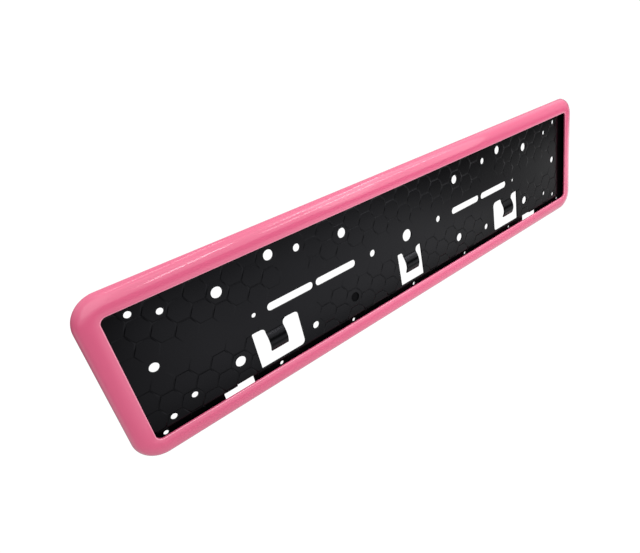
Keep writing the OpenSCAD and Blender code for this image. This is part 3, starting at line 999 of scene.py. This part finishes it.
def plain_to_camera(tree, value, glow):
    """Sets a glow's strength: a value for what it lights, and plain white to the camera."""
    path = node(tree, "ShaderNodeLightPath")
    choose = node(tree, "ShaderNodeMapRange", To_Max=WHITE)
    join(path, "Is Camera Ray", choose, "Value")
    tree.links.new(value, choose.inputs["To Min"])
    join(choose, "Result", glow, "Strength")
    put(glow, Color=(1.0, 1.0, 1.0, 1.0))


def pale_floor():
    """Pale floor that glows like a light table. It is plain white to the camera. The light
    that it sends to the holder fades out to the front and the back, and is brighter in a
    band before the holder and in a round pool far to the right."""
    s = studio()
    material, tree, shader = principled("pale floor")
    tree.nodes.remove(shader)
    place = node(tree, "ShaderNodeTexCoord")
    split = node(tree, "ShaderNodeSeparateXYZ")
    join(place, "Object", split, "Vector")
    away = node(tree, "ShaderNodeVectorMath")
    away.operation = "DISTANCE"
    x, y, radius = POOL
    away.inputs[1].default_value = (x, y, -s.floor_drop)
    join(place, "Object", away, 0)
    pool = node(tree, "ShaderNodeMapRange", From_Max=radius, To_Min=s.floor_right, To_Max=0.0)
    pool.interpolation_type = "SMOOTHSTEP"
    join(away, "Value", pool, "Value")
    along, across = split.outputs["X"], split.outputs["Y"]
    plain = soft_ramp(tree, across, GLOW_DEPTH, s.floor_glow)
    band = combine(tree, "MULTIPLY", soft_ramp(tree, across, BAND_DEPTH, s.floor_band),
                   soft_ramp(tree, along, BAND_LENGTH))
    total = combine(tree, "ADD", combine(tree, "ADD", plain, band), pool.outputs["Result"])
    glow = node(tree, "ShaderNodeEmission")
    plain_to_camera(tree, total, glow)
    join(glow, "Emission", tree.nodes["Material Output"], "Surface")
    return material


def sky(world):
    """Surroundings: dim at the horizon, brighter overhead, and plain white to the camera."""
    s = studio()
    world.use_nodes = True
    tree = world.node_tree
    place = node(tree, "ShaderNodeTexCoord")
    split = node(tree, "ShaderNodeSeparateXYZ")
    height = node(tree, "ShaderNodeMapRange", From_Min=0.0, From_Max=0.8,
                  To_Min=s.horizon, To_Max=s.zenith)
    height.interpolation_type = "SMOOTHSTEP"
    join(place, "Generated", split, "Vector")
    join(split, "Z", height, "Value")
    plain_to_camera(tree, height.outputs["Result"], tree.nodes["Background"])


def add_camera():
    """The camera at the photograph's place: seen from the front, above left, and rolled."""
    data = bpy.data.cameras.new("view")
    data.sensor_width = 36.0
    data.lens = studio().focal
    camera = bpy.data.objects.new("view", data)
    bpy.context.scene.collection.objects.link(camera)
    back = Vector(CAMERA_BACK).normalized()
    up = back.cross(Vector(CAMERA_RIGHT).normalized()).normalized()
    turn = Matrix((up.cross(back), up, back)).transposed().to_4x4()
    camera.matrix_world = Matrix.Translation(CAMERA_PLACE) @ turn
    data.clip_start, data.clip_end = 0.01, 50.0
    bpy.context.scene.camera = camera


class PLATE_OT_studio(bpy.types.Operator):
    """Add the floor, the lights and the camera"""
    bl_idname = "plate.studio"
    bl_label = "Studio"
    bl_options = {"REGISTER", "UNDO"}

    def execute(self, context):
        s = studio()
        scene = context.scene
        scene.view_settings.view_transform = "Standard"
        scene.world = bpy.data.worlds.new("studio")
        sky(scene.world)
        mesh = bpy.data.meshes.new("floor")
        mesh.from_pydata([(sx * FLOOR_REACH, sy * FLOOR_REACH, -s.floor_drop)
                          for sx, sy in ((-1, -1), (1, -1), (1, 1), (-1, 1))], [], [(0, 1, 2, 3)])
        floor = bpy.data.objects.new("floor", mesh)
        scene.collection.objects.link(floor)
        mesh.materials.append(pale_floor())
        for name, *place in SOFTBOXES:
            add_softbox(name, *place, getattr(s, name))
        fill = add_light("fill", *FILL, s.fill)
        fill.visible_glossy = False
        for name, start, end, part in STRIPS:
            add_strip(name, start, end, STRIP_WIDTH, s.strips * part)
        add_camera()
        return {"FINISHED"}


class PLATE_PT_panel(bpy.types.Panel):
    """Lists what the add-on builds"""
    bl_idname = "PLATE_PT_panel"
    bl_label = "Number plate holder"
    bl_space_type = "VIEW_3D"
    bl_region_type = "UI"
    bl_category = "Plate holder"

    def draw(self, context):
        for operator in (PLATE_OT_base_plate, PLATE_OT_front_bezel, PLATE_OT_studio):
            self.layout.operator(operator.bl_idname)


GROUPS = {"plate_bezel": BezelSizes, "plate_base": BaseSizes, "plate_clips": ClipSizes,
          "plate_colours": HolderColours, "plate_studio": StudioSettings}
CLASSES = (*GROUPS.values(), PLATE_OT_base_plate, PLATE_OT_front_bezel, PLATE_OT_studio,
           PLATE_PT_panel)


def register():
    for each in CLASSES:
        bpy.utils.register_class(each)
    for name, group in GROUPS.items():
        setattr(bpy.types.Scene, name, PointerProperty(type=group))


def unregister():
    for name in GROUPS:
        delattr(bpy.types.Scene, name)
    for each in reversed(CLASSES):
        bpy.utils.unregister_class(each)


def main():
    register()
    bpy.ops.plate.base_plate()
    bpy.ops.plate.front_bezel()
    bpy.ops.plate.studio()


if __name__ == "__main__":
    main()
